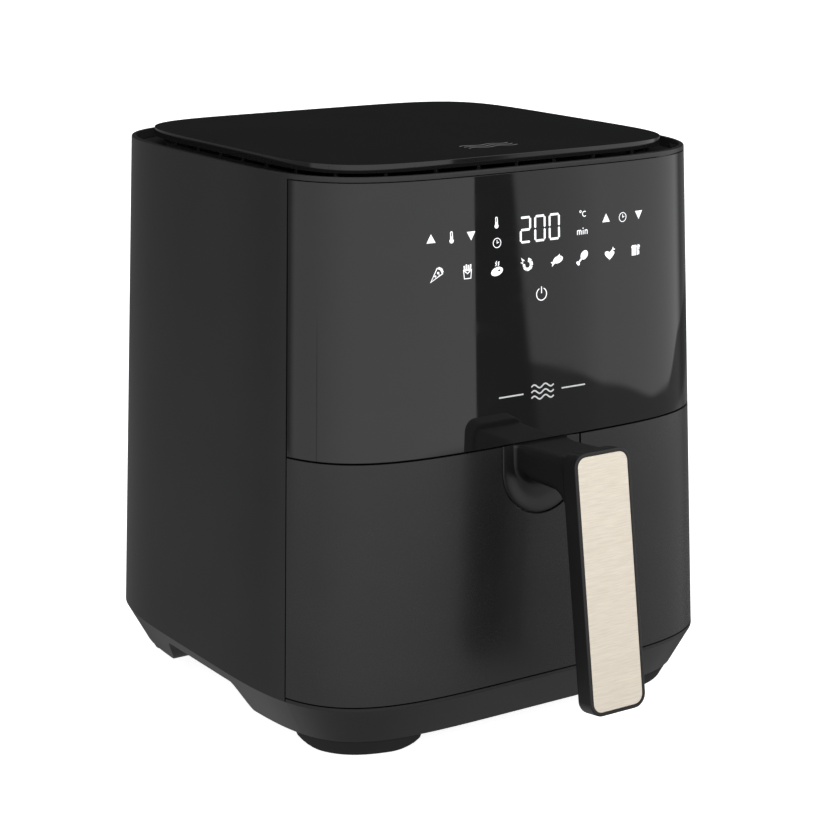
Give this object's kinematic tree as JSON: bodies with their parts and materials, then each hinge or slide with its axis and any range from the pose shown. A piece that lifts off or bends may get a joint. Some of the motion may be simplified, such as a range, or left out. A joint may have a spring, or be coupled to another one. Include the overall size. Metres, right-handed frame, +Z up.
{
  "type": "air fryer",
  "caption": "Basket air fryer with a touch panel, a pull-out drawer on a tilted handle, a floating lid plate and a hot-air fan over the pan.",
  "frame": {"origin": "on the surface it stands on, under the middle of the whole object with its handle", "axes": "+Z up, -Y towards the front with the handle, +X to the viewer's right when facing the front"},
  "size_m": [0.27, 0.3279, 0.3009],
  "materials": {
    "shell_plastic": "fine satin, dark grey",
    "drawer_plastic": "fine satin, dark grey",
    "gloss_black": "polished black",
    "black_plastic": "satin black",
    "foot_rubber": "matte black",
    "seal_rubber": "matte grey silicone",
    "inlay_metal": "brushed champagne",
    "sheet_steel": "plain sheet",
    "heater_steel": "oxidised tube",
    "fan_aluminium": "pressed sheet",
    "laminations": "stacked laminations",
    "copper_winding": "enamelled copper wire",
    "bronze": "sintered bronze",
    "pan_coating": "non-stick coating",
    "insulation_board": "fibre board",
    "circuit_board": "green solder mask",
    "display_plastic": "cream moulding",
    "contact_metal": "plated springs",
    "relay_blue": "blue case",
    "capacitor_yellow": "yellow case",
    "transformer_tape": "yellow tape",
    "cutout_black": "dark ceramic",
    "wire_white": "white sleeving",
    "wire_red": "red sleeving"
  },
  "bodies": {
    "housing": {"outer_shell": "shell_plastic", "base_tub": "shell_plastic", "control_panel": "gloss_black", "top_deck": "black_plastic", "lid": "gloss_black", "lid_spacer": "black_plastic", "foot_front_left": "foot_rubber", "foot_front_right": "foot_rubber", "foot_rear_left": "foot_rubber", "foot_rear_right": "foot_rubber", "front_frame": "black_plastic", "door_gasket": "seal_rubber", "chamber_liner": "sheet_steel", "pan_rail_left": "sheet_steel", "pan_rail_right": "sheet_steel", "roof_insulation": "insulation_board", "heating_element": "heater_steel", "element_clips": "sheet_steel", "element_guard": "sheet_steel", "motor_bridge": "sheet_steel", "stator_core": "laminations", "stator_winding": "copper_winding", "motor_cap": "sheet_steel", "bush_lower": "bronze", "bush_upper": "bronze", "air_duct": "black_plastic", "exhaust_duct": "sheet_steel", "rear_grille": "black_plastic", "control_board": "circuit_board", "display_module": "display_plastic", "touch_pads": "contact_metal", "board_carrier": "black_plastic", "power_board": "circuit_board", "relay": "relay_blue", "capacitor": "capacitor_yellow", "transformer": "transformer_tape", "thermal_cutout": "cutout_black", "temperature_probe": "sheet_steel", "microswitch": "black_plastic", "cord_gland": "black_plastic", "terminal_block": "display_plastic", "mains_harness": "wire_white", "heater_harness": "wire_red", "base_screws": "sheet_steel"},
    "drawer": {"drawer_front": "drawer_plastic", "drawer_inner": "black_plastic", "handle_shield": "black_plastic", "handle": "black_plastic", "handle_inlay": "inlay_metal", "handle_bracket": "sheet_steel", "handle_screws": "sheet_steel", "pan": "pan_coating"},
    "plate": {"crisper_plate": "pan_coating", "plate_bumpers": "seal_rubber"},
    "rotor": {"motor_shaft": "sheet_steel", "rotor_core": "laminations", "hot_air_fan": "fan_aluminium", "cooling_fan": "black_plastic", "fan_nut": "sheet_steel"},
    "switch_plunger": {"switch_plunger": "black_plastic"}
  },
  "joints": [
    {"name": "drawer_slide", "type": "slide", "parent": "housing", "child": "drawer", "axis": [0, -1, 0], "range_m": [0, 0.22]},
    {"name": "plate_lift", "type": "slide", "parent": "drawer", "child": "plate", "axis": [0, 0, 1], "range_m": [0, 0.07]},
    {"name": "fan_spin", "type": "hinge", "parent": "housing", "child": "rotor", "pos_m": [0, 0.04498, 0.2], "axis": [0, 0, 1], "continuous": true},
    {"name": "switch_release", "type": "slide", "parent": "housing", "child": "switch_plunger", "axis": [0, 0, -1], "range_m": [0, 0.0025]}
  ],
  "couplings": [
    {"joint": "switch_release", "follows": "drawer_slide", "ratio": 0.01}
  ]
}
